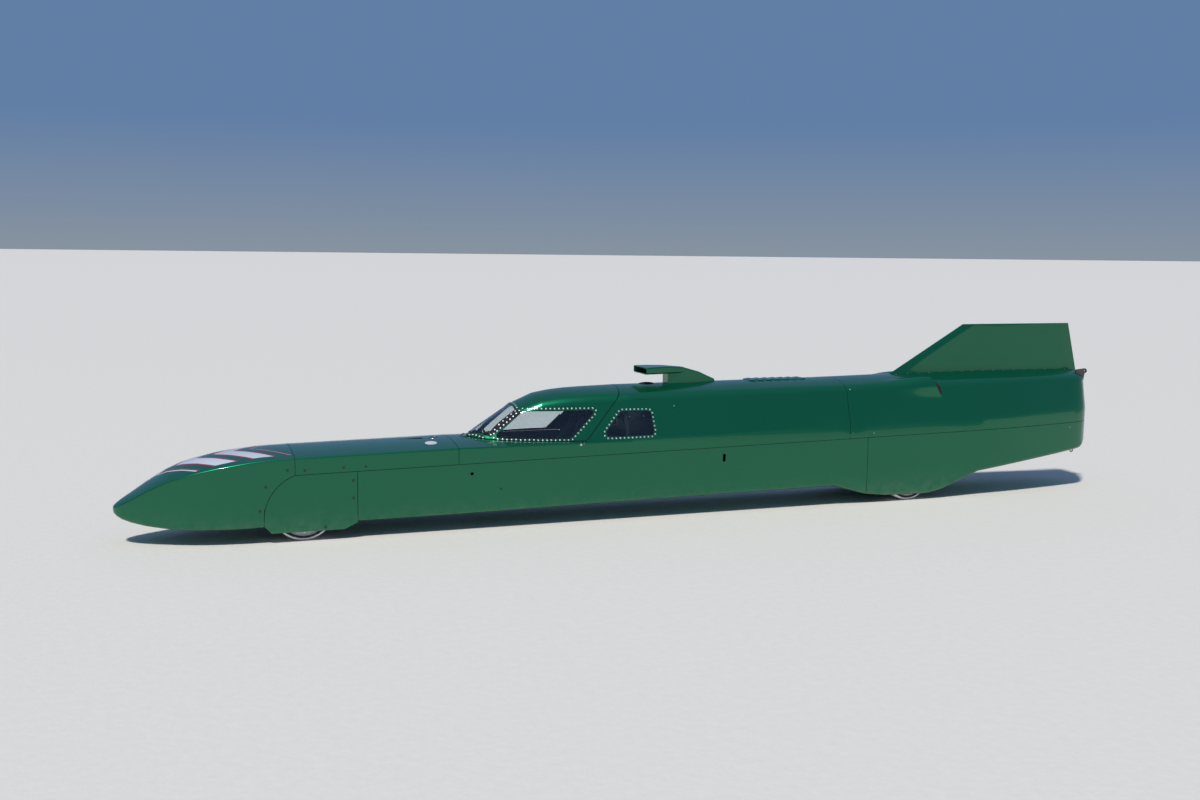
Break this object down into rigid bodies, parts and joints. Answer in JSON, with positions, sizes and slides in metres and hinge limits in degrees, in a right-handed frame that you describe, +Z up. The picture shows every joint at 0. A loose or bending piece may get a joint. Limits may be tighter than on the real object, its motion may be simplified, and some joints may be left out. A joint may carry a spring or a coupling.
{
  "type": "land speed streamliner car",
  "caption": "Long narrow covered-wheel racing car with hinged canopy, roof scoop, tall tail fin and parachute tubes.",
  "frame": {"origin": "on the ground, midway between nose and tail on the centre line", "axes": "+X forward, +Y to the driver's left, +Z up"},
  "size_m": [6.67, 0.58, 1.1779],
  "materials": {
    "body_paint": "metallic emerald green under clear coat",
    "window": "lightly tinted clear plastic",
    "frame_steel": "satin black paint",
    "plain_aluminium": "brushed sheet",
    "bright_steel": "bright steel",
    "wheel_disc": "pale grey paint",
    "tyre_rubber": "smooth black rubber",
    "cushion_cloth": "black cloth",
    "pack_cloth": "dark canvas",
    "grip_black": "matt black"
  },
  "bodies": {
    "chassis": {"nose_cone": "body_paint", "front_deck": "body_paint", "filler_cap": "plain_aluminium", "middle_upper_body": "body_paint", "quarter_windows": "window", "roof_louvre": "body_paint", "tail_upper_body": "body_paint", "lower_body": "body_paint", "rear_lower_body": "body_paint", "front_wheel_cover_left": "body_paint", "front_wheel_cover_right": "body_paint", "canopy_hinge": "bright_steel", "intake_scoop": "body_paint", "outlet_blisters": "body_paint", "tail_fin": "body_paint", "chute_tubes": "plain_aluminium", "chute_packs": "pack_cloth", "tow_eyes": "bright_steel", "tail_lugs": "bright_steel", "frame_rails": "frame_steel", "front_bulkhead": "plain_aluminium", "footwell_bulkhead": "plain_aluminium", "firewall": "plain_aluminium", "rear_bulkhead": "plain_aluminium", "roll_cage": "frame_steel", "seat_shell": "plain_aluminium", "seat_pad": "cushion_cloth", "headrest": "cushion_cloth", "dash_panel": "plain_aluminium", "steering_column": "frame_steel", "engine_block": "plain_aluminium", "front_axle_beam": "frame_steel", "axle_carriers": "frame_steel"},
    "canopy": {"canopy_shell": "body_paint", "windshield": "window", "canopy_windows": "window"},
    "steering": {"steering_wheel": "grip_black"},
    "left_knuckle": {"knuckle_left": "frame_steel"},
    "right_knuckle": {"knuckle_right": "frame_steel"},
    "left_front_wheel": {"front_wheel_left": "wheel_disc", "front_tyre_left": "tyre_rubber"},
    "right_front_wheel": {"front_wheel_right": "wheel_disc", "front_tyre_right": "tyre_rubber"},
    "steering_link": {"tie_rod": "bright_steel"},
    "rear_wheels": {"rear_axle": "bright_steel", "rear_wheel_left": "wheel_disc", "rear_tyre_left": "tyre_rubber", "rear_wheel_right": "wheel_disc", "rear_tyre_right": "tyre_rubber"}
  },
  "joints": [
    {"name": "canopy_lift", "type": "hinge", "parent": "chassis", "child": "canopy", "pos_m": [1.313, 0, 0.537], "axis": [0, 1, 0], "range_deg": [0, 65]},
    {"name": "left_steer", "type": "hinge", "parent": "chassis", "child": "left_knuckle", "pos_m": [2.315, 0.14, 0.178], "axis": [0, 0, 1], "range_deg": [-5, 5]},
    {"name": "right_steer", "type": "hinge", "parent": "chassis", "child": "right_knuckle", "pos_m": [2.315, -0.14, 0.178], "axis": [0, 0, 1], "range_deg": [-5, 5]},
    {"name": "tie_rod_slide", "type": "slide", "parent": "chassis", "child": "steering_link", "axis": [0, 1, 0], "range_m": [-0.008, 0.008]},
    {"name": "steering_wheel_turn", "type": "hinge", "parent": "chassis", "child": "steering", "pos_m": [1.2, 0, 0.426], "axis": [-1, 0, 0], "range_deg": [-46, 46]},
    {"name": "front_left_roll", "type": "hinge", "parent": "left_knuckle", "child": "left_front_wheel", "pos_m": [2.315, 0.2, 0.178], "axis": [0, 1, 0], "continuous": true},
    {"name": "front_right_roll", "type": "hinge", "parent": "right_knuckle", "child": "right_front_wheel", "pos_m": [2.315, -0.2, 0.178], "axis": [0, 1, 0], "continuous": true},
    {"name": "rear_roll", "type": "hinge", "parent": "chassis", "child": "rear_wheels", "pos_m": [-1.722, 0, 0.178], "axis": [0, 1, 0], "continuous": true}
  ],
  "couplings": [
    {"joint": "right_steer", "follows": "left_steer", "ratio": 1},
    {"joint": "tie_rod_slide", "follows": "left_steer", "m_per_rad": -0.09},
    {"joint": "steering_wheel_turn", "follows": "left_steer", "ratio": 9}
  ]
}
